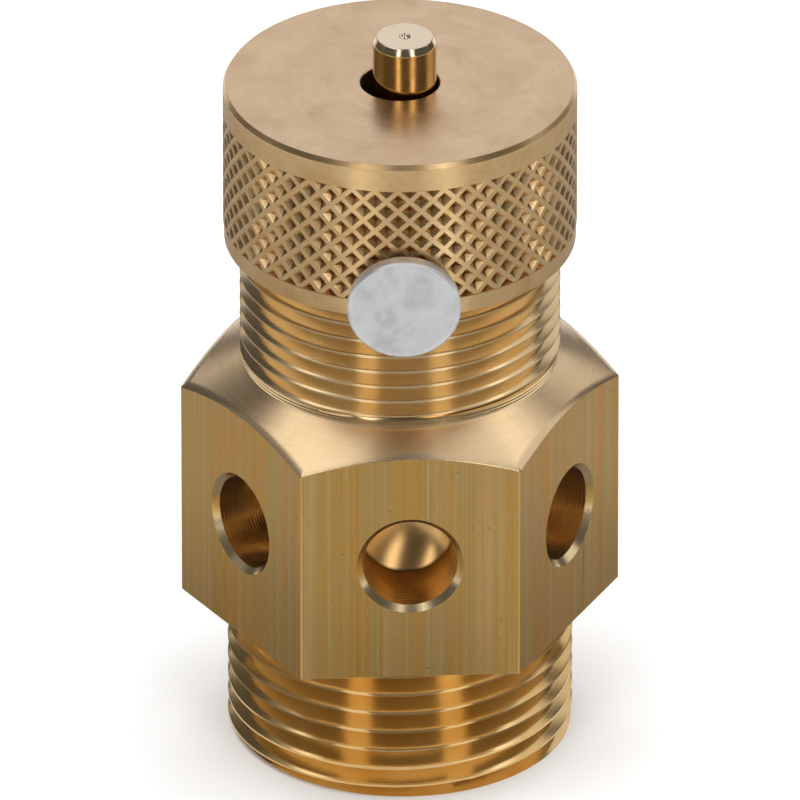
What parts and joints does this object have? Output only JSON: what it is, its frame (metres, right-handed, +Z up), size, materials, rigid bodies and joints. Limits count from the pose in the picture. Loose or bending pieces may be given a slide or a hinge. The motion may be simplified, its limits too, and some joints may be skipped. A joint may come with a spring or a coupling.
{
  "type": "pressure relief valve",
  "caption": "Hexagonal brass relief valve: a spring-loaded disc vents through radial holes in the flats, under a sealed knurled cap with a stem.",
  "frame": {"origin": "centre of the inlet end, the lowest face", "axes": "+Z up the valve's axis towards the stem; the hexagon's flats face -Y and +Y; the aluminium seal is on the -Y side"},
  "size_m": [0.0312, 0.0277, 0.0549],
  "materials": {
    "body_brass": "drawn and turned, lightly tarnished",
    "cap_brass": "turned and knurled, satin",
    "stem_brass": "turned",
    "inner_brass": "turned, clean",
    "seal_aluminium": "matte, struck",
    "spring_steel": "drawn stainless wire",
    "pin_steel": "ground",
    "seal_rubber": "moulded elastomer"
  },
  "bodies": {
    "valve": {"valve_body": "body_brass", "knurled_cap": "cap_brass", "seal_plug": "seal_aluminium", "upper_spring_plate": "inner_brass", "spring": "spring_steel"},
    "spring_follower": {"lower_spring_plate": "inner_brass"},
    "disc_group": {"disc_holder": "inner_brass", "seal_disc": "seal_rubber", "seal_washer": "inner_brass", "seal_screw": "inner_brass", "stem": "stem_brass", "stem_pin": "pin_steel"}
  },
  "joints": [
    {"name": "valve_lift", "type": "slide", "parent": "valve", "child": "spring_follower", "axis": [0, 0, 1], "range_m": [0, 0.0023], "stiffness_N_per_m": 3600, "springref_m": -0.0042, "deforming": ["spring"]},
    {"name": "disc_turn", "type": "hinge", "parent": "spring_follower", "child": "disc_group", "pos_m": [0.00033, 0, 0.02428], "axis": [0, 0, 1], "continuous": true}
  ]
}
